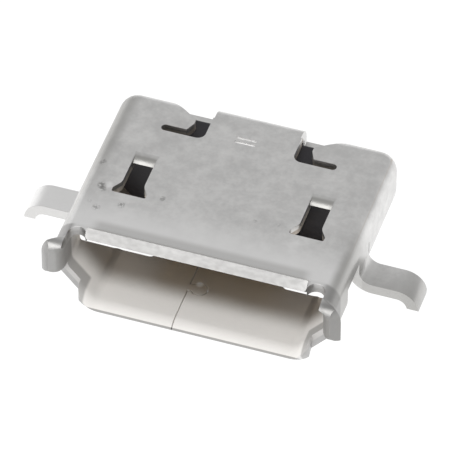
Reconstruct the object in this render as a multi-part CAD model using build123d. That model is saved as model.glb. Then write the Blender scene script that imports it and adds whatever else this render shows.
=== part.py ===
from build123d import *
import math
import os

# Micro USB board socket: a folded sheet-metal shell around a moulded insulator with five contacts.
# While modelling, X runs across the socket, the mouth faces -Y and the shell's top face is at Z = 0.
# Y = 0 is the middle of the two latch windows. All sizes are in millimetres.

os.makedirs("parts", exist_ok=True)

# Sheet and mouth opening
sheet = 0.30
mouth_width = 6.90
mouth_height = 1.85
mouth_side_height = 0.95
mouth_floor_width = 5.40
crown_radius = 0.20
floor_radius = 0.30

# Length of the shell, from the middle of the latch windows
latch_to_lip = 1.90
latch_to_mouth = 2.45
latch_to_back = 3.00
back_bend_radius = 0.42

# Flared edge round the mouth
lip_width = 5.90
lip_angle = 40.0
lip_flat = 0.19
lip_length = 0.40
lip_bend_radius = 0.12
lip_corner = 0.08
relief_width = 0.48
relief_to_latch = 2.20
flare_bend_radius = 0.20
side_flare_angle = 45.0
side_flare_flat = 0.09
side_flare_length = 0.535
side_flare_drop = 1.14
side_flare_top_corner = 0.40
side_flare_low_corner = 0.28
floor_flare_angle = 40.0
floor_flare_flat = 0.02
floor_flare_length = 0.30
floor_flare_overhang = 0.40
floor_flare_rise = 0.55
floor_flare_corner = 0.22

# Latch windows and the bent tab at the back of each
window_spacing = 4.77
window_width = 0.59
window_front = 0.75
window_back = 0.78
window_flare_width = 0.92
window_flare_depth = 0.14
window_flare_run = 0.25
window_edge_radius = 0.05
window_waist_radius = 0.28
tab_angle = 50.0
tab_flat = 0.03
tab_bend_radius = 0.03
tab_straight = 0.02

# Lock slots near the back edge, and the notches that open them to the back
slot_to_back = 1.26
slot_width = 0.21
slot_inner = 1.20
slot_outer = 2.37
notch_outer = 1.60
notch_shoulder = 1.72
notch_slope = 0.26
notch_depth = 0.52
notch_corner = 0.22
notch_bend = 0.10
notch_mouth_depth = 0.64
notch_mouth_run = 0.95
notch_mouth_radius = 0.50

# Centre flap folded down behind the insulator
flap_width = 2.34
flap_stand_off = 0.08
flap_drop = 0.80
flap_bend_radius = 0.40
tail_gap_width = 3.90
side_flap_drop = 1.75

# Solder horns cut out of the side walls
horn_front = 0.545
horn_rear = 0.25
horn_depth = 1.41
horn_root_radius = 0.35
horn_flat_end = 4.75
horn_tip_radius = 0.58
horn_tip_angle = 86.0
horn_tip_length = 0.08
horn_corner = 0.14
horn_slot_front = 0.70
horn_slot_wall_front = 1.50
horn_slot_rear = 0.30
horn_slot_top = 0.75
horn_slot_inner = 1.72
horn_slot_corner = 0.15

# Seam in the floor, held by a round lock
seam_offset = -0.55
seam_gap = 0.03
lock_radius = 0.20
lock_reach = 0.30
lock_neck = 0.20
lock_to_latch = 1.40

# Two short strokes coined into the top
stroke_length = 0.56
stroke_width = 0.07
stroke_depth = 0.05
stroke_pitch = 0.16
stroke_offset = -0.14
stroke_to_back = 1.07

# Insulator and its tongue
insulator_depth = 2.02
tongue_width = 3.70
tongue_thickness = 0.60
tongue_gap = 0.35
tongue_front = 1.30
tongue_chamfer = 0.10

# Contacts
contact_count = 5
contact_pitch = 0.65
contact_width = 0.37
contact_thickness = 0.15
contact_set_back = 0.16
contact_jog_to_back = 1.70
contact_jog_run = 0.30
contact_bend_radius = 0.30
tail_length = 0.72

# Levels and places that follow from the sizes above
roof_z = -sheet
knee_z = roof_z - mouth_side_height
floor_z = roof_z - mouth_height
side_x = mouth_width / 2
outer_side_x = side_x + sheet
floor_flare_width = mouth_floor_width + 2 * floor_flare_overhang
slot_front = latch_to_back - slot_to_back
slot_back = slot_front + slot_width
insulator_front = latch_to_back - insulator_depth
flap_back = latch_to_back + flap_stand_off
horn_seat_z = -horn_depth - sheet
tongue_top_z = roof_z - tongue_gap
tongue_bottom_z = tongue_top_z - tongue_thickness
clear = 5.0                                   # how far a cut runs past the part


def along_x(face, x_from, x_to):
    """Carry a face drawn in Y and Z from one X to another."""
    return extrude(Plane.YZ.offset(x_from) * face, amount=x_to - x_from)


def along_y(face, y_from, y_to):
    """Carry a face drawn in X and Z from one Y to another."""
    return extrude(Plane.XZ.offset(-y_from) * face, amount=y_from - y_to)


def along_z(face, z_from, z_to):
    """Carry a face drawn in X and Y from one Z to another."""
    return extrude(Plane.XY.offset(z_from) * face, amount=z_to - z_from)


def block(x_from, x_to, y_from, y_to, z_from, z_to):
    """A box given by its limits."""
    return Pos(x_from, y_from, z_from) * Box(
        x_to - x_from, y_to - y_from, z_to - z_from, align=(Align.MIN, Align.MIN, Align.MIN)
    )


def both_sides(solid):
    """The solid and its mirror image across the socket's middle plane."""
    return solid + mirror(solid, about=Plane.YZ)


def sheet_strip(points, radii, side, thickness=sheet):
    """The section of a bent sheet: a line with rounded corners, thickened to one side.

    The radii are those of the line's own corners, one for all of them or one for each.
    """
    near = [Vector(*point) for point in points]
    shift = thickness if side == Side.LEFT else -thickness
    ways = [(end - start).normalized() for start, end in zip(near, near[1:])]
    normals = [Vector(-way.Y, way.X) for way in ways]
    corners = list(zip(ways, ways[1:], normals, normals[1:]))
    near_radii = radii if isinstance(radii, list) else [radii] * len(corners)
    far = [near[0] + normals[0] * shift]
    far_radii = []
    for point, radius, (way, next_way, normal, next_normal) in zip(near[1:], near_radii, corners):
        far.append(point + (normal + next_normal) * (shift / (1 + normal.dot(next_normal))))
        far_radii.append(radius - math.copysign(shift, shift * way.cross(next_way).Z))
    far.append(near[-1] + normals[-1] * shift)
    path = FilletPolyline(*near, radius=near_radii)
    other = FilletPolyline(*far, radius=far_radii)
    ends = [Line(near[0], far[0]), Line(near[-1], far[-1])]
    return make_face(path.edges() + other.edges() + ends)


def flare_points(flat, angle, length, inner_radius):
    """The cavity side of a sheet that runs forward and then bends outward.

    Each point is (outward, forward). The length is the sheet's own, from the start of the bend
    to the edge, measured along its middle.
    """
    turn = math.radians(angle)
    tangent = (inner_radius + sheet) * math.tan(turn / 2)
    straight = length - (inner_radius + sheet / 2) * turn
    corner = flat + tangent
    reach = tangent + straight
    return [(0, 0), (0, corner), (reach * math.sin(turn), corner + reach * math.cos(turn))]


def mouth_profile(grow=0.0):
    """The mouth's opening in X and Z, or the same shape grown by the sheet."""
    right = [(side_x, roof_z), (side_x, knee_z), (mouth_floor_width / 2, floor_z)]
    left = [(-x, z) for x, z in reversed(right)]
    face = make_face(Polyline(*right, *left, close=True))
    face = fillet(face.vertices().sort_by(Axis.Y)[-2:], crown_radius)
    face = fillet(face.vertices().sort_by(Axis.Y)[:4], floor_radius)
    return offset(face, amount=grow) if grow else face


def rounded_back(face, y_from, y_to, radius):
    """Carry a profile to the back and round the rim of its back face."""
    solid = along_y(face, y_from, y_to)
    return fillet(solid.faces().sort_by(Axis.Y)[-1].edges(), radius)


def cavity(y_from):
    """The space inside the shell from a given Y to the inside of the back wall."""
    return rounded_back(mouth_profile(), y_from, latch_to_back - sheet, back_bend_radius - sheet)


def tube():
    """The folded body of the shell, closed at the back."""
    outer = rounded_back(mouth_profile(sheet), -latch_to_mouth, latch_to_back, back_bend_radius)
    return outer - cavity(-latch_to_mouth - clear)


def flare_along(path, points, limits):
    """Carry a flared section along the mouth's edge and keep what lies within the limits.

    Each straight or round stretch of the path is carried by itself, with its section outward.
    """
    section = sheet_strip(points, flare_bend_radius + sheet, Side.RIGHT)
    middle = Vector(0, -latch_to_mouth, (roof_z + floor_z) / 2)
    back = Vector(0, 1, 0)
    flare = Part()
    for edge in path.edges():
        along = edge % 0
        if along.cross(back).dot(edge @ 0 - middle) < 0:
            along = -along
        start = Plane(origin=edge @ 0, x_dir=along.cross(back), z_dir=along)
        flare += sweep(start * section, path=edge)
    return flare & limits


def front_plan(width, depth, corner):
    """A strip that ends in front of the latches, seen from above, with its two front corners rounded."""
    plan = Pos(0, -depth / 2) * Rectangle(width, depth)
    return along_z(fillet(plan.vertices().sort_by(Axis.Y)[:2], corner), -clear, clear)


def roof_lip():
    """The roof's front edge, bent up over the mouth."""
    bend = flare_points(lip_flat, lip_angle, lip_length, lip_bend_radius)
    points = [(-latch_to_lip - forward, roof_z + outward) for outward, forward in bend]
    section = sheet_strip(points, lip_bend_radius + sheet, Side.RIGHT)
    lip = along_x(section, -lip_width / 2, lip_width / 2)
    return lip & front_plan(lip_width, latch_to_lip + bend[-1][1], lip_corner)


def roof_cut():
    """What is cut from the roof in front of the lip, where the walls and the floor reach further."""
    return block(
        -lip_width / 2, lip_width / 2, -latch_to_mouth - clear, -latch_to_lip, roof_z - crown_radius, clear
    )


def reliefs():
    """The round-ended slits that part the lip from the side flares."""
    x = (lip_width + relief_width) / 2
    end = -relief_to_latch - relief_width / 2
    slit = Pos(x, end - clear / 2) * Rectangle(relief_width, clear) + Pos(x, end) * Circle(relief_width / 2)
    return both_sides(along_z(slit, -relief_width - sheet, clear))


def taper_point(z):
    """The point of the mouth's tapered lower side at a given height."""
    lean = (side_x - mouth_floor_width / 2) / (knee_z - floor_z)
    return (mouth_floor_width / 2 + lean * (z - floor_z), -latch_to_mouth, z)


def side_flare():
    """The right wall's front edge flared outward, from the roof's corner down to the knee."""
    path = FilletPolyline(
        (side_x - crown_radius - sheet, -latch_to_mouth, roof_z),
        (side_x, -latch_to_mouth, roof_z),
        (side_x, -latch_to_mouth, -side_flare_drop),
        radius=crown_radius,
    )
    points = flare_points(side_flare_flat, side_flare_angle, side_flare_length, flare_bend_radius)
    depth = latch_to_mouth + points[-1][1]
    plan = Pos(-depth / 2, -side_flare_drop / 2) * Rectangle(depth, side_flare_drop)
    low, high = plan.vertices().sort_by(Axis.X)[:2].sort_by(Axis.Y)
    plan = fillet(high, side_flare_top_corner)
    low = plan.vertices().filter_by(lambda v: v.X < -latch_to_mouth).sort_by(Axis.Y)[:1]
    plan = fillet(low, side_flare_low_corner)
    return flare_along(path, points, along_x(plan, 0, clear + side_x))


def floor_flare():
    """The floor's front edge flared downward, its ends climbing the tapered sides."""
    right = taper_point(floor_z + floor_flare_rise)
    path = FilletPolyline(
        right,
        (mouth_floor_width / 2, -latch_to_mouth, floor_z),
        (-mouth_floor_width / 2, -latch_to_mouth, floor_z),
        (-right[0], right[1], right[2]),
        radius=floor_radius,
    )
    points = flare_points(floor_flare_flat, floor_flare_angle, floor_flare_length, flare_bend_radius)
    depth = latch_to_mouth + points[-1][1]
    return flare_along(path, points, front_plan(floor_flare_width, depth, floor_flare_corner))


def horn():
    """The right solder horn: out of the wall, flat over the board, then curled down."""
    turn = math.radians(horn_tip_angle)
    tangent = horn_tip_radius * math.tan(turn / 2)
    reach = tangent + horn_tip_length
    corner = (horn_flat_end + tangent, -horn_depth)
    points = [
        (outer_side_x, -(sheet + crown_radius + horn_slot_top) / 2),
        (outer_side_x, -horn_depth),
        corner,
        (corner[0] + reach * math.cos(turn), corner[1] - reach * math.sin(turn)),
    ]
    section = sheet_strip(points, [horn_root_radius, horn_tip_radius], Side.RIGHT)
    low = section.bounding_box().min.Y
    side = Pos((horn_rear - horn_front) / 2, low / 2) * Rectangle(horn_front + horn_rear, -low)
    side = fillet(side.vertices().sort_by(Axis.Y)[:2], horn_corner)
    return along_y(section, -horn_front, horn_rear) & along_x(side, 0, 2 * clear)


def horn_slot():
    """The hole left in the right wall and the floor where the horn was bent out."""
    plan = make_face(
        Polyline(
            (horn_slot_inner, horn_slot_rear),
            (horn_slot_inner, -horn_slot_front),
            (mouth_floor_width / 2, -horn_slot_front),
            (side_x, -horn_slot_wall_front),
            (clear, -horn_slot_wall_front),
            (clear, horn_slot_rear),
            close=True,
        )
    )
    plan = fillet(plan.vertices().filter_by(lambda v: v.X < side_x + sheet), horn_slot_corner)
    return along_z(plan, floor_z - clear, -horn_slot_top)


def window():
    """The right latch window: a narrow waist that widens towards the mouth."""
    half = window_width / 2
    wide = window_flare_width / 2
    shoulder = -window_front + window_flare_depth
    right = [
        (half, window_back),
        (half, shoulder + window_flare_run),
        (wide, shoulder),
        (wide, -window_front),
    ]
    left = [(-x, y) for x, y in reversed(right)]
    face = make_face(Polyline(*right, *left, close=True))
    waist = [v for v in face.vertices() if abs(v.Y - shoulder - window_flare_run) < 0.01]
    face = fillet(waist, window_waist_radius)
    front = [v for v in face.vertices() if v.Y < shoulder + 0.01]
    face = fillet(front, window_edge_radius)
    return along_z(Pos(window_spacing / 2, 0) * face, -sheet * 2, sheet)


def window_tab():
    """The sheet behind the right window, bent down into the mouth."""
    turn = math.radians(tab_angle)
    tangent = (tab_bend_radius + sheet) * math.tan(turn / 2)
    corner = window_back - tab_flat - tangent
    reach = tangent + tab_straight
    points = [
        (window_back + sheet, 0),
        (corner, 0),
        (corner - reach * math.cos(turn), -reach * math.sin(turn)),
    ]
    section = sheet_strip(points, tab_bend_radius + sheet, Side.LEFT)
    half = window_width / 2
    return along_x(section, window_spacing / 2 - half, window_spacing / 2 + half)


def lock_slot():
    """The right lock slot with the notch that opens it to the back edge."""
    end_x = slot_outer - slot_width / 2
    middle_y = (slot_front + slot_back) / 2
    slit = Pos((notch_outer + end_x) / 2, middle_y) * Rectangle(end_x - notch_outer, slot_width)
    slit += Pos(end_x, middle_y) * Circle(slot_width / 2)
    slope_end = slot_back + notch_slope
    mouth_start = latch_to_back - notch_mouth_depth
    mouth_end = notch_outer + notch_mouth_run
    back = latch_to_back + clear
    notch = make_face(
        Polyline(
            (slot_inner, slot_front),
            (notch_shoulder, slot_front),
            (notch_shoulder, slot_back),
            (notch_outer, slope_end),
            (notch_outer, mouth_start),
            (mouth_end, latch_to_back),
            (side_x, latch_to_back),
            (side_x, back),
            (slot_inner, back),
            close=True,
        )
    )
    rounds = [
        (slot_inner, slot_front, notch_corner),
        (notch_shoulder, slot_back, notch_bend),
        (notch_outer, slope_end, notch_bend),
        (notch_outer, mouth_start, notch_bend),
        (mouth_end, latch_to_back, notch_mouth_radius),
    ]
    for x, y, radius in rounds:
        notch = fillet(notch.vertices().sort_by_distance((x, y, 0))[:1], radius)
    return along_z(slit, -2 * sheet, sheet) + along_z(notch, -notch_depth, sheet)


def back_openings():
    """What is cut out of the back wall for the flap, the tails and the open lower edge."""
    rim_y = latch_to_back - back_bend_radius
    end_y = latch_to_back + clear
    middle = block(-slot_inner, slot_inner, rim_y, end_y, -clear, clear)
    half_gap = tail_gap_width / 2
    tails = block(-half_gap, half_gap, latch_to_back - sheet, end_y, -clear, -flap_drop)
    low = block(-clear, clear, rim_y, end_y, -clear, -side_flap_drop)
    return middle + tails + low


def back_flap():
    """The middle of the roof folded down behind the insulator."""
    start = latch_to_back - back_bend_radius - sheet
    points = [(start, 0), (flap_back, 0), (flap_back, -flap_drop)]
    section = sheet_strip(points, flap_bend_radius, Side.RIGHT)
    return along_x(section, -flap_width / 2, flap_width / 2)


def seam():
    """The seam through the floor, stepping round the lock's head."""
    reach = 4 * clear
    left = Pos(seam_offset - reach / 2, 0) * Rectangle(reach, 2 * reach)
    neck = Pos(seam_offset + lock_reach / 2, -lock_to_latch) * Rectangle(lock_reach, lock_neck)
    head = Pos(seam_offset + lock_reach, -lock_to_latch) * Circle(lock_radius)
    half = left + neck + head
    return along_z(offset(half, amount=seam_gap) - half, floor_z - clear, floor_z + sheet)


def strokes():
    """Two shallow strokes coined into the top, the front one nearer the mouth."""
    marks = Part()
    for row in range(2):
        place = Pos(stroke_offset, latch_to_back - stroke_to_back + row * stroke_pitch)
        marks += along_z(place * SlotOverall(stroke_length, stroke_width), -stroke_depth, sheet)
    return marks


def shell():
    """The whole folded shell as one piece of sheet."""
    body = tube() - both_sides(horn_slot()) - back_openings() - roof_cut()
    body += roof_lip() + both_sides(side_flare()) + floor_flare()
    body += both_sides(horn()) + back_flap()
    body -= reliefs()
    body -= both_sides(window()) + both_sides(lock_slot()) + seam() + strokes()
    return body + both_sides(window_tab())


def contact(index):
    """One contact: flush under the tongue, through the insulator and out to its solder tail."""
    x = (index - (contact_count - 1) / 2) * contact_pitch
    jog_start = latch_to_back - contact_jog_to_back
    points = [
        (-tongue_front + contact_set_back, tongue_bottom_z),
        (jog_start, tongue_bottom_z),
        (jog_start + contact_jog_run, horn_seat_z),
        (flap_back + tail_length, horn_seat_z),
    ]
    section = sheet_strip(points, contact_bend_radius, Side.LEFT, contact_thickness)
    return along_x(section, x - contact_width / 2, x + contact_width / 2)


def insulator(contacts):
    """The moulded insulator: a block that fills the back of the shell, with the tongue in front."""
    body = cavity(insulator_front)
    tongue = block(
        -tongue_width / 2, tongue_width / 2, -tongue_front, insulator_front + sheet,
        tongue_bottom_z, tongue_top_z,
    )
    tip = tongue.faces().sort_by(Axis.Y)[0]
    tongue = chamfer(tip.edges(), tongue_chamfer)
    boss = block(
        -flap_width / 2 + sheet / 2, flap_width / 2 - sheet / 2, insulator_front, flap_back - sheet,
        floor_z + floor_radius, -flap_bend_radius,
    )
    body += tongue + boss
    for piece in contacts:
        body -= piece
    return body


contacts = [contact(index) for index in range(contact_count)]
nodes = {"shell": shell(), "insulator": insulator(contacts)}
nodes.update({f"contact_{index + 1}": piece for index, piece in enumerate(contacts)})

# The origin is under the middle of the whole part, at its lowest point
box = Compound(children=[Part() + piece for piece in nodes.values()]).bounding_box()
to_origin = Pos(-(box.min.X + box.max.X) / 2, -(box.min.Y + box.max.Y) / 2, -box.min.Z)

for name, piece in nodes.items():
    export_step(to_origin * piece, f"parts/{name}.step")

print("size", [round(v, 3) for v in (box.size.X, box.size.Y, box.size.Z)])
print("origin shift", [round(v, 4) for v in to_origin.position])
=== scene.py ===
"""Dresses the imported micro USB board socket: a folded, plated shell round a black insulator.

The metal pieces are finished copies of the construction's own solids, with the edges that a
stamping tool leaves. The finishes are procedural and read Object coordinates, in metres, where the
roof faces +Z and the mouth faces -Y.
"""

import logging
import math
from dataclasses import dataclass
from functools import cached_property
from typing import Any, Union

import bmesh
import bpy
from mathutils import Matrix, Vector


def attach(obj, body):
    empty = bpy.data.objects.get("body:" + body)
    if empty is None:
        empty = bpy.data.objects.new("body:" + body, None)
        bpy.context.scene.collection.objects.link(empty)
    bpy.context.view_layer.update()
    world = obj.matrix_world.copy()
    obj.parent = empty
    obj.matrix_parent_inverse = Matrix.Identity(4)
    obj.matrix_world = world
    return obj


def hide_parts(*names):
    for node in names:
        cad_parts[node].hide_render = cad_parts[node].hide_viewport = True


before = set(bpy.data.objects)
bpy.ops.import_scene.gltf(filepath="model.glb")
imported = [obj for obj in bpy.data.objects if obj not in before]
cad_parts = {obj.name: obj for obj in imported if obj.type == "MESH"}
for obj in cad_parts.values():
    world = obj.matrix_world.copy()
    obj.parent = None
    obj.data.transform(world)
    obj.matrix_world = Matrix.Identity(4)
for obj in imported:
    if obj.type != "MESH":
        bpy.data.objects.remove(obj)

log = logging.getLogger("socket")

MM = 0.001
ROOT_BODY = "root"
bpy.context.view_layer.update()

Number = Union[int, float]
Colour = tuple[float, float, float]


class Wire:
    """A node socket that can be used in a sum, so that shader maths reads as Python."""

    def __init__(self, tree: bpy.types.NodeTree, socket: bpy.types.NodeSocket) -> None:
        """Hold a socket and the tree that it belongs to."""
        self.tree = tree
        self.socket = socket

    def _math(self, operation: str, *values: Any) -> "Wire":
        """Add one Math node that takes the values in order."""
        node = self.tree.nodes.new("ShaderNodeMath")
        node.operation = operation
        for place, value in zip(node.inputs, values):
            plug(self.tree, place, value)
        return Wire(self.tree, node.outputs[0])

    def __add__(self, other: Any) -> "Wire":
        """self + other."""
        return self._math("ADD", self, other)

    __radd__ = __add__

    def __mul__(self, other: Any) -> "Wire":
        """self * other."""
        return self._math("MULTIPLY", self, other)

    __rmul__ = __mul__

    def __sub__(self, other: Any) -> "Wire":
        """self - other."""
        return self._math("SUBTRACT", self, other)

    def __rsub__(self, other: Any) -> "Wire":
        """other - self."""
        return self._math("SUBTRACT", other, self)

    def __pow__(self, other: Any) -> "Wire":
        """self ** other."""
        return self._math("POWER", self, other)

    def __abs__(self) -> "Wire":
        """The size of self without its sign."""
        return self._math("ABSOLUTE", self)

    def least(self, other: Any) -> "Wire":
        """The smaller of the two."""
        return self._math("MINIMUM", self, other)

    def most(self, other: Any) -> "Wire":
        """The larger of the two."""
        return self._math("MAXIMUM", self, other)

    def ramp(self, low: Number, high: Number) -> "Wire":
        """A soft step: 0 at low, 1 at high, smooth between them; low may be above high."""
        node = self.tree.nodes.new("ShaderNodeMapRange")
        node.interpolation_type = "SMOOTHSTEP"
        flip = low > high
        plug(self.tree, node.inputs["Value"], self)
        node.inputs["From Min"].default_value = min(low, high)
        node.inputs["From Max"].default_value = max(low, high)
        node.inputs["To Min"].default_value = 1.0 if flip else 0.0
        node.inputs["To Max"].default_value = 0.0 if flip else 1.0
        return Wire(self.tree, node.outputs["Result"])


def plug(tree: bpy.types.NodeTree, place: bpy.types.NodeSocket, value: Any) -> None:
    """Link a wire to a socket, or set the socket's own value.

    Args:
        tree: the node tree that holds the socket.
        place: the input socket.
        value: a Wire, a number, or a colour or vector.
    """
    if isinstance(value, Wire):
        tree.links.new(value.socket, place)
    elif isinstance(value, (tuple, list)) and place.type == "RGBA":
        place.default_value = (*value[:3], 1.0)
    else:
        place.default_value = value


class Finish:
    """A material under construction, with one way to add any node."""

    def __init__(self, name: str) -> None:
        """Start an empty material with a Principled shader."""
        self.material = bpy.data.materials.new(name)
        self.material.use_nodes = True
        self.tree = self.material.node_tree
        self.tree.nodes.clear()
        self.shader = self.tree.nodes.new("ShaderNodeBsdfPrincipled")
        self.output = self.tree.nodes.new("ShaderNodeOutputMaterial")
        self.tree.links.new(self.shader.outputs[0], self.output.inputs["Surface"])

    def node(
        self, kind: str, settings: dict[str, Any], values: dict[str, Any], out: Any = 0
    ) -> Wire:
        """Add a node.

        Args:
            kind: the node's type name.
            settings: its properties, set before its sockets.
            values: socket names with the value or wire that each takes.
            out: the name or number of the output wanted.

        Returns:
            The wanted output.
        """
        made = self.tree.nodes.new(kind)
        for name, value in settings.items():
            setattr(made, name, value)
        for name, value in values.items():
            plug(self.tree, made.inputs[name], value)
        return Wire(self.tree, made.outputs[out])

    def place(self) -> Wire:
        """The point on the surface, in metres."""
        return self.node("ShaderNodeTexCoord", {}, {}, "Object")

    def axes(self) -> tuple[Wire, Wire, Wire]:
        """The point's X, Y and Z, in millimetres."""
        split = self.tree.nodes.new("ShaderNodeSeparateXYZ")
        plug(self.tree, split.inputs[0], self.place())
        x, y, z = (Wire(self.tree, out) * (1 / MM) for out in split.outputs)
        return x, y, z

    def noise(self, size_mm: float, detail: float = 3.0, rough: float = 0.55) -> Wire:
        """Cloudy noise from 0 to 1 whose features are about size_mm across."""
        return self.node(
            "ShaderNodeTexNoise",
            {"noise_dimensions": "3D"},
            {
                "Vector": self.place(),
                "Scale": 1.0 / (size_mm * MM),
                "Detail": detail,
                "Roughness": rough,
            },
            "Fac",
        )

    def stretched_noise(self, stretch: tuple[float, float, float], size_mm: float) -> Wire:
        """Noise drawn out along some axes, for grain and fine scratches."""
        moved = self.node("ShaderNodeMapping", {}, {"Vector": self.place(), "Scale": stretch})
        return self.node(
            "ShaderNodeTexNoise",
            {"noise_dimensions": "3D"},
            {"Vector": moved, "Scale": 1.0 / (size_mm * MM), "Detail": 2.0, "Roughness": 0.5},
            "Fac",
        )

    def mix(self, share: Any, first: Any, second: Any) -> Wire:
        """A colour between two colours."""
        made = self.tree.nodes.new("ShaderNodeMix")
        made.data_type = "RGBA"
        plug(self.tree, made.inputs[0], share)
        plug(self.tree, made.inputs[6], first)
        plug(self.tree, made.inputs[7], second)
        return Wire(self.tree, made.outputs[2])

    def bump(self, height: Wire, depth_mm: float, strength: float = 1.0) -> Wire:
        """A bumped normal from a height of 0 to 1 that stands for a depth in millimetres."""
        return self.node(
            "ShaderNodeBump",
            {},
            {"Height": height, "Distance": depth_mm * MM, "Strength": strength},
        )

    def set(self, **values: Any) -> None:
        """Set sockets of the shader; underscores stand for the spaces in their names."""
        for name, value in values.items():
            plug(self.tree, self.shader.inputs[name.replace("_", " ")], value)


@dataclass(frozen=True)
class ShellShape:
    """Where the folded shell's faces, edges and small features lie, in millimetres."""

    sheet: float = 0.30
    roof_z: float = 2.533
    side_x: float = 3.45
    knee_z: float = 1.283
    floor_z: float = 0.383
    floor_x: float = 2.70
    mouth_y: float = -2.81
    back_y: float = 2.34
    lip_y: float = -2.45
    lip_x: float = 2.95
    lip_edge: float = 3.794
    lip_turn: float = math.radians(40.0)
    flare_x: float = 3.3
    side_edge: float = 5.104
    floor_edge: float = 2.300
    floor_turn: float = math.radians(40.0)
    notch_x: float = 2.9
    notch_y: float = -2.44
    window_x: float = 2.385
    tab_half_width: float = 0.30
    tab_back_y: float = 0.46
    stroke_x: float = -0.14
    stroke_y: float = 1.65
    stroke_half_x: float = 0.30
    stroke_half_y: float = 0.16
    horn_x: float = 3.80
    horn_y: float = -0.906
    horn_tip_x: float = 4.7


@dataclass
class Regions:
    """Masks from 0 to 1 for the parts of the folded sheet.

    Each mask is a product of soft steps along the axes, in millimetres, at the point x, y, z.
    """

    shape: ShellShape
    x: Wire
    y: Wire
    z: Wire

    @cached_property
    def roof(self) -> Wire:
        """The roof's top face and what stands above it."""
        top = self.shape.roof_z
        return self.z.ramp(top - 0.12, top - 0.02)

    @cached_property
    def inside(self) -> Wire:
        """The faces that look into the mouth, as far as the back wall."""
        shape = self.shape
        half = shape.sheet / 2
        across = abs(self.x)
        lean = (shape.side_x - shape.floor_x) / (shape.knee_z - shape.floor_z)
        reach = shape.floor_x + half * math.hypot(1.0, lean)
        taper = (self.z - shape.floor_z) * lean + reach - across
        wall = (shape.side_x + half) - across
        floor = self.z - (shape.floor_z - half)
        roof = (shape.roof_z - half) - self.z
        within = wall.least(floor).least(roof).least(taper).ramp(-0.03, 0.03)
        return within * self.y.ramp(shape.back_y + 0.08, shape.back_y + 0.02)

    @cached_property
    def low(self) -> Wire:
        """The floor and the tapered corners, below the walls' knee."""
        knee = self.shape.knee_z
        return self.z.ramp(knee + 0.3, knee - 0.2)

    @cached_property
    def lit_sill(self) -> Wire:
        """The floor's front, where the light falls in: a painted pool of light, near white and less
        metallic.
        """
        mouth = self.shape.mouth_y
        return self.inside * self.low * self.y.ramp(mouth + 1.15, mouth + 0.35)

    @cached_property
    def lip(self) -> Wire:
        """The cut face of the roof's lip, square to the way that the lip turns up."""
        shape = self.shape
        along = self.z * math.sin(shape.lip_turn) - self.y * math.cos(shape.lip_turn)
        face = along.ramp(shape.lip_edge - 0.06, shape.lip_edge - 0.03)
        face = face * self.z.ramp(shape.roof_z - 0.5, shape.roof_z - 0.4)
        return face * abs(self.x).ramp(shape.lip_x + 0.05, shape.lip_x)

    def front(self) -> Wire:
        """The roof's front, growing towards the lip, where the roof takes a painted highlight."""
        return self.y.ramp(-0.9, self.shape.lip_y + 0.15) * self.roof

    def bend(self) -> Wire:
        """The roof just behind the lip, where the sheet starts to turn up and takes painted shade.
        """
        shape = self.shape
        near = self.y.ramp(shape.lip_y + 0.34, shape.lip_y + 0.10) * self.roof
        return near * abs(self.x).ramp(shape.lip_x + 0.05, shape.lip_x - 0.3)

    def deep(self) -> Wire:
        """The inside, growing from the mouth to the back, for painted shade in the cavity."""
        mouth = self.shape.mouth_y
        return self.inside * self.y.ramp(mouth + 0.1, mouth + 1.3)

    def flares_and_tip(self) -> Wire:
        """The two side flares and the tip of the right horn, which take painted shade."""
        shape = self.shape
        flare = self.y.ramp(shape.mouth_y - 0.05, shape.mouth_y - 0.3)
        flare = flare * abs(self.x).ramp(shape.flare_x, shape.flare_x + 0.2)
        return flare.most(self.x.ramp(shape.horn_tip_x, shape.horn_tip_x + 0.4))

    def left_horn(self) -> Wire:
        """The whole left horn, made paler as painted light."""
        return self.x.ramp(-self.shape.horn_x, -self.shape.horn_x - 0.2)

    def horn_fronts(self) -> Wire:
        """The cut faces of both horns that look to the mouth's side, which take painted shade."""
        shape = self.shape
        horn = abs(self.x).ramp(shape.horn_x, shape.horn_x + 0.06)
        horn = horn * self.z.ramp(shape.knee_z - 1.5, shape.knee_z - 1.0)
        cut = self.y.ramp(shape.horn_y + 0.02, shape.horn_y + 0.005)
        return horn * cut * self.y.ramp(-1.5, -1.0)

    def shaded_walls(self) -> Wire:
        """The left wall's upper bend and the right wall's front."""
        left = self.x.ramp(-3.10, -3.50) * self.x.ramp(-3.85, -3.78) * self.y.ramp(-1.8, 0.6)
        return left.most(self.x.ramp(3.35, 3.6) * self.y.ramp(0.2, -1.6))

    def notches(self) -> Wire:
        """The sheet's edge in the slits beside the lip."""
        shape = self.shape
        slit = abs(self.x).ramp(shape.notch_x, shape.notch_x + 0.06)
        slit = slit * self.y.ramp(shape.notch_y, shape.notch_y - 0.1)
        return slit * self.z.ramp(shape.roof_z + 0.01, shape.roof_z - 0.03)

    def flare_cuts(self) -> Wire:
        """The cut edge of each side flare, square to its turn of 45 degrees."""
        edge = self.shape.side_edge
        return ((abs(self.x) - self.y) * math.sqrt(0.5)).ramp(edge - 0.04, edge - 0.01)

    def floor_cut(self) -> Wire:
        """The cut edge of the floor's flare, square to the way that it turns down."""
        shape = self.shape
        along = self.y * -math.cos(shape.floor_turn) - self.z * math.sin(shape.floor_turn)
        return along.ramp(shape.floor_edge - 0.07, shape.floor_edge - 0.04) * self.low

    def tabs(self) -> Wire:
        """The bent tab at the back of each latch window, which takes painted shade."""
        shape = self.shape
        half = shape.tab_half_width
        tab = abs(abs(self.x) - shape.window_x).ramp(half + 0.04, half)
        tab = tab * self.y.ramp(0.0, 0.05) * self.y.ramp(shape.tab_back_y, shape.tab_back_y - 0.06)
        return tab * self.z.ramp(shape.roof_z + 0.01, shape.roof_z - 0.02)

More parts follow.
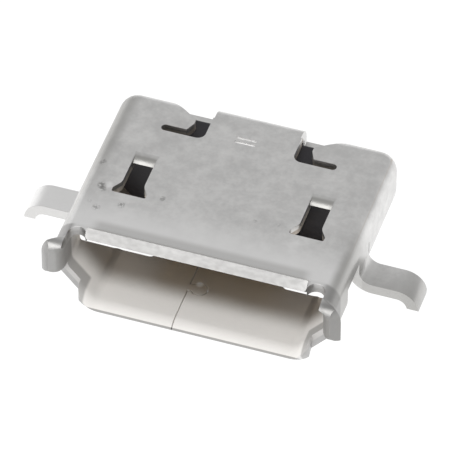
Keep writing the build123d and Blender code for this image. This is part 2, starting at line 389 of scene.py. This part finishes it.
    def strokes(self) -> Wire:
        """The bottoms of the two strokes that are coined into the roof."""
        shape = self.shape
        top = shape.roof_z
        sunk = self.z.ramp(top - 0.005, top - 0.02) * self.z.ramp(top - 0.1, top - 0.06)
        wide = abs(self.x - shape.stroke_x).ramp(shape.stroke_half_x + 0.04, shape.stroke_half_x)
        long = abs(self.y - shape.stroke_y).ramp(shape.stroke_half_y + 0.04, shape.stroke_half_y)
        return sunk * wide * long


@dataclass(frozen=True)
class Mark:
    """A small round mark on the roof, dark or bright."""

    x_mm: float
    y_mm: float
    radius_mm: float
    share: float

    def cover(self, x: Wire, y: Wire) -> Wire:
        """How much of the mark lies at a point, from 0 to its share."""
        away = ((x - self.x_mm) * (x - self.x_mm) + (y - self.y_mm) * (y - self.y_mm)) ** 0.5
        return away.ramp(self.radius_mm, self.radius_mm * 0.3) * self.share


@dataclass(frozen=True)
class PlatedSheet:
    """Dull nickel plate over stamped sheet, with a painted highlight on the roof's front and
    painted shade inside the mouth.
    """

    light: Colour = (0.83, 0.825, 0.815)
    dark: Colour = (0.66, 0.655, 0.648)
    # pale: painted highlights on the roof's front, the glints, the lock's head and the left horn,
    # and the bottoms of the coined strokes
    pale: Colour = (0.95, 0.945, 0.94)
    # painted shade inside the mouth, brownish
    cavity_shade: Colour = (0.62, 0.56, 0.49)
    # painted shade behind the lip, on the flares, the right horn's tip, the horns' fronts, the
    # shaded walls and the latch tabs
    painted_shade: Colour = (0.42, 0.415, 0.40)
    # painted pool of light on the floor's front
    lit_sill: Colour = (1.0, 0.975, 0.94)
    sheared: Colour = (0.25, 0.246, 0.242)
    # dark specks on the roof, painted shade round the dent beside the left window, and the floor
    # flare's darker cut edge
    specks_and_shade: Colour = (0.20, 0.195, 0.19)
    roughness: float = 0.38
    cloud_mm: float = 1.3
    blotch_mm: float = 0.32
    grain_mm: float = 0.10
    streak_mm: float = 0.09
    pit_mm: float = 0.07
    bump_mm: float = 0.006
    shape: ShellShape = ShellShape()
    specks: tuple[Mark, ...] = (
        Mark(-3.39, -0.17, 0.13, 0.6),
        Mark(-2.43, -1.51, 0.13, 0.6),
        Mark(-1.50, -0.97, 0.12, 0.5),
        Mark(-3.02, -1.78, 0.14, 0.5),
        Mark(0.98, -0.97, 0.08, 0.28),
        Mark(1.59, -0.92, 0.08, 0.28),
        # these two: painted shade round the dent beside the left window
        Mark(-3.14, -1.00, 0.15, 0.7),
        Mark(-3.07, -1.11, 0.13, 0.6),
        Mark(-3.26, -1.62, 0.09, 0.28),
    )
    glints: tuple[Mark, ...] = (
        Mark(2.24, -1.44, 0.42, 0.5),
        Mark(-2.35, -1.55, 0.5, 0.3),
        Mark(-2.96, -0.93, 0.16, 0.9),
    )
    dent: Mark = Mark(-3.02, -0.99, 0.22, 1.0)
    # painted highlight on the head of the seam's lock, on the floor inside
    lock_highlight: Mark = Mark(-0.30, -1.60, 0.13, 1.0)

    def make(self) -> bpy.types.Material:
        """Build the material."""
        finish = Finish("plated_shell")
        area = Regions(self.shape, *finish.axes())
        cloud = finish.noise(self.cloud_mm, 4.0)
        grain = finish.noise(self.grain_mm, 3.0)
        blotch = finish.noise(self.blotch_mm, 2.0)
        mottle = (cloud * 0.45 + blotch * 0.3 + grain * 0.25).ramp(0.32, 0.68)
        colour = finish.mix(mottle, self.dark, self.light)
        for share, coat in self.coats(finish, area, cloud, blotch):
            colour = finish.mix(share, colour, coat)
        relief = (grain * 0.55 + blotch * 0.9 + cloud * 1.5) * (1.0 - area.lip * 0.8)
        height = relief - self.dent.cover(area.x, area.y) * 4.0
        uneven = (cloud - 0.5) * 0.12 + (grain - 0.5) * 0.12
        finish.set(
            Base_Color=colour,
            Metallic=1.0 - area.lit_sill,
            Roughness=uneven + self.roughness + area.inside * 0.22,
            Normal=finish.bump(height, self.bump_mm, 0.6),
        )
        return finish.material

    def coats(
        self, finish: Finish, area: Regions, cloud: Wire, blotch: Wire
    ) -> list[tuple[Wire, Colour]]:
        """The colours that lie over the plate, in order, painted highlights and painted shade among
        them.

        Args:
            finish: the material under construction.
            area: the masks of the sheet's parts.
            cloud: the coarse noise.
            blotch: the middle noise.

        Returns:
            Pairs of a share from 0 to 1 and the colour that it lays on.
        """
        streaks = finish.stretched_noise((0.5, 1.0, 1.0), self.streak_mm).ramp(0.3, 0.7)
        patchy = blotch.ramp(0.35, 0.6) * area.roof
        pitted = finish.noise(self.pit_mm, 2.0).ramp(0.38, 0.56) * area.roof
        return [
            # painted highlight: the roof paler towards the lip
            (area.front() * 0.85, self.pale),
            *((glint.cover(area.x, area.y) * patchy, self.pale) for glint in self.glints),
            # painted shade where the roof turns up into the lip
            (area.bend() * 0.45, self.painted_shade),
            (area.lip * (streaks * 0.10 + 0.79), self.sheared),
            # painted shade, darker deeper inside the mouth
            (area.deep() * (cloud * 0.3 + 0.7), self.cavity_shade),
            # painted pool of light on the floor's front
            (area.lit_sill, self.lit_sill),
            # painted highlight on the head of the seam's lock
            (self.lock_highlight.cover(area.x, area.y) * area.inside * area.low, self.pale),
            # painted shade on the flares and the right horn's tip
            (area.flares_and_tip() * 0.5, self.painted_shade),
            # painted light: the left horn made pale
            (area.left_horn() * 0.9, self.pale),
            # painted shade on the horns' cut faces
            (area.horn_fronts() * 0.45, self.painted_shade),
            (area.shaded_walls() * 0.75, self.painted_shade),
            (area.notches() * 0.6, self.sheared),
            (area.flare_cuts() * 0.3, self.sheared),
            # the floor flare's cut edge darkened to a thin outline
            (area.floor_cut() * 0.75, self.specks_and_shade),
            # painted shade on the latch tabs
            (area.tabs(), self.painted_shade),
            (area.strokes(), self.pale),
            *((speck.cover(area.x, area.y) * pitted, self.specks_and_shade) for speck in self.specks),
        ]


@dataclass(frozen=True)
class MouldedPlastic:
    """Matt black heat-resistant moulding."""

    colour: Colour = (0.012, 0.011, 0.014)
    roughness: float = 0.55

    def make(self) -> bpy.types.Material:
        """Build the material."""
        finish = Finish("moulded_insulator")
        texture = finish.noise(0.06, 2.0)
        finish.set(
            Base_Color=finish.mix(texture, self.colour, tuple(2.0 * part for part in self.colour)),
            Roughness=self.roughness + (texture - 0.5) * 0.15,
            Normal=finish.bump(texture, 0.004, 0.5),
        )
        return finish.material


@dataclass(frozen=True)
class GoldPlate:
    """Thin gold over a stamped contact, tinned at its tail."""

    gold: Colour = (0.83, 0.62, 0.28)
    tin: Colour = (0.74, 0.73, 0.70)
    roughness: float = 0.28
    tail_from_mm: float = 2.0

    def make(self) -> bpy.types.Material:
        """Build the material."""
        finish = Finish("plated_contact")
        _, y, _ = finish.axes()
        streak = finish.stretched_noise((1.0, 0.15, 1.0), 0.08)
        tinned = y.ramp(self.tail_from_mm - 0.2, self.tail_from_mm)
        finish.set(
            Base_Color=finish.mix(tinned, self.gold, self.tin),
            Metallic=1.0,
            Roughness=self.roughness + (streak - 0.5) * 0.2,
            Normal=finish.bump(streak, 0.003, 0.5),
        )
        return finish.material


@dataclass(frozen=True)
class EdgeStyle:
    """How the edges of a piece were left by its tool."""

    width_mm: float
    segments: int
    sharp_degrees: float = 38.0


@dataclass
class FinishedPiece:
    """A copy of one construction solid with broken edges and its finish."""

    node: str
    slot: str
    edge: EdgeStyle
    material: bpy.types.Material

    def build(self) -> bpy.types.Object:
        """Copy the solid, join its loose triangles and break its edges.

        Returns:
            The finished object, which stands for the solid.
        """
        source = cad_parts[self.node]
        mesh = source.data.copy()
        mesh.name = f"{self.node}_finished"
        work = bmesh.new()
        work.from_mesh(mesh)
        bmesh.ops.remove_doubles(work, verts=work.verts, dist=0.0005 * MM)
        bmesh.ops.dissolve_limit(
            work, angle_limit=math.radians(0.6), verts=work.verts, edges=work.edges
        )
        work.to_mesh(mesh)
        work.free()
        mesh.materials.clear()
        mesh.materials.append(self.material)
        mesh.shade_smooth()
        piece = bpy.data.objects.new(f"{self.node}_finished", mesh)
        bpy.context.scene.collection.objects.link(piece)
        bevel = piece.modifiers.new("broken_edges", "BEVEL")
        bevel.width = self.edge.width_mm * MM
        bevel.segments = self.edge.segments
        bevel.limit_method = "ANGLE"
        bevel.angle_limit = math.radians(self.edge.sharp_degrees)
        bevel.harden_normals = False
        bevel.use_clamp_overlap = True
        weighted = piece.modifiers.new("even_shading", "WEIGHTED_NORMAL")
        weighted.keep_sharp = False
        weighted.weight = 50
        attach(piece, ROOT_BODY)
        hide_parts(self.node)
        log.info("%s: %d faces before its edges", piece.name, len(mesh.polygons))
        return piece


@dataclass(frozen=True)
class SoftBox:
    """A square soft lamp that looks at the socket; its glow is 1 for the white of the table."""

    name: str
    place_mm: tuple[float, float, float]
    size_mm: float
    glow: float

    def build(self) -> None:
        """Hang the lamp, with the power that gives its area the stated glow."""
        side = self.size_mm * MM
        data = bpy.data.lights.new(self.name, "AREA")
        data.shape = "SQUARE"
        data.size = side
        data.energy = self.glow * math.pi * side * side
        lamp = bpy.data.objects.new(self.name, data)
        lamp.location = Vector(self.place_mm) * MM
        lamp.rotation_euler = (-lamp.location).to_track_quat("-Z", "Y").to_euler()
        bpy.context.scene.collection.objects.link(lamp)


@dataclass
class Studio:
    """A light table under soft lamps, and the camera of the reference view."""

    azimuth: float = 18.4
    elevation: float = 46.05
    distance_mm: float = 160.0
    pixels_per_mm: float = 39.0
    frame_pixels: float = 450.0
    aim_mm: tuple[float, float, float] = (-0.036, -0.343, 1.433)
    table_mm: float = 900.0
    table_glow: float = 1.0
    room: float = 0.60
    lamps: tuple[SoftBox, ...] = (
        SoftBox("front_box", (-60.0, -230.0, 190.0), 200.0, 2.6),
        SoftBox("left_box", (-260.0, 120.0, 50.0), 180.0, 0.35),
    )

    def build(self) -> None:
        """Make the table, the lamps, the room's light and the camera."""
        self.table()
        for lamp in self.lamps:
            lamp.build()
        world = bpy.data.worlds.new("room")
        world.use_nodes = True
        back = world.node_tree.nodes["Background"]
        back.inputs["Color"].default_value = (self.room, self.room, self.room, 1.0)
        bpy.context.scene.world = world
        self.camera()

    def table(self) -> None:
        """A plain pale table that glows, so that nothing on it throws a hard shadow."""
        half = self.table_mm * MM / 2
        mesh = bpy.data.meshes.new("table")
        mesh.from_pydata(
            [(-half, -half, 0.0), (half, -half, 0.0), (half, half, 0.0), (-half, half, 0.0)],
            [],
            [(0, 1, 2, 3)],
        )
        table = bpy.data.objects.new("table", mesh)
        bpy.context.scene.collection.objects.link(table)
        finish = Finish("pale_table")
        finish.set(
            Base_Color=(0.12, 0.12, 0.12),
            Roughness=0.9,
            Specular_IOR_Level=0.0,
            Emission_Color=(1.0, 1.0, 1.0),
            Emission_Strength=self.table_glow,
        )
        mesh.materials.append(finish.material)

    def camera(self) -> None:
        """The long lens of the reference view, aimed at the point in the middle of its frame."""
        turn = math.radians(self.azimuth)
        lift = math.radians(self.elevation)
        level = math.cos(lift)
        back = Vector((math.sin(turn) * level, -math.cos(turn) * level, math.sin(lift)))
        data = bpy.data.cameras.new("camera")
        data.sensor_width = 36.0
        data.lens = self.pixels_per_mm * self.distance_mm / self.frame_pixels * data.sensor_width
        data.clip_start = 1.0 * MM
        data.clip_end = 10.0
        camera = bpy.data.objects.new("camera", data)
        camera.location = (Vector(self.aim_mm) + back * self.distance_mm) * MM
        camera.rotation_euler = (-back).to_track_quat("-Z", "Y").to_euler()
        bpy.context.scene.collection.objects.link(camera)
        bpy.context.scene.camera = camera


def main() -> None:
    """Build the studio and every piece in order."""
    logging.basicConfig(level=logging.INFO)
    bpy.context.scene.view_settings.view_transform = "Standard"
    Studio().build()
    shell = PlatedSheet().make()
    plastic = MouldedPlastic().make()
    gold = GoldPlate().make()
    FinishedPiece("shell", "plated_shell", EdgeStyle(0.03, 3), shell).build()
    FinishedPiece("insulator", "moulded_insulator", EdgeStyle(0.02, 2), plastic).build()
    for name in sorted(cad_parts):
        if name.startswith("contact_"):
            FinishedPiece(name, "plated_contact", EdgeStyle(0.015, 2), gold).build()


if __name__ == "__main__":
    main()
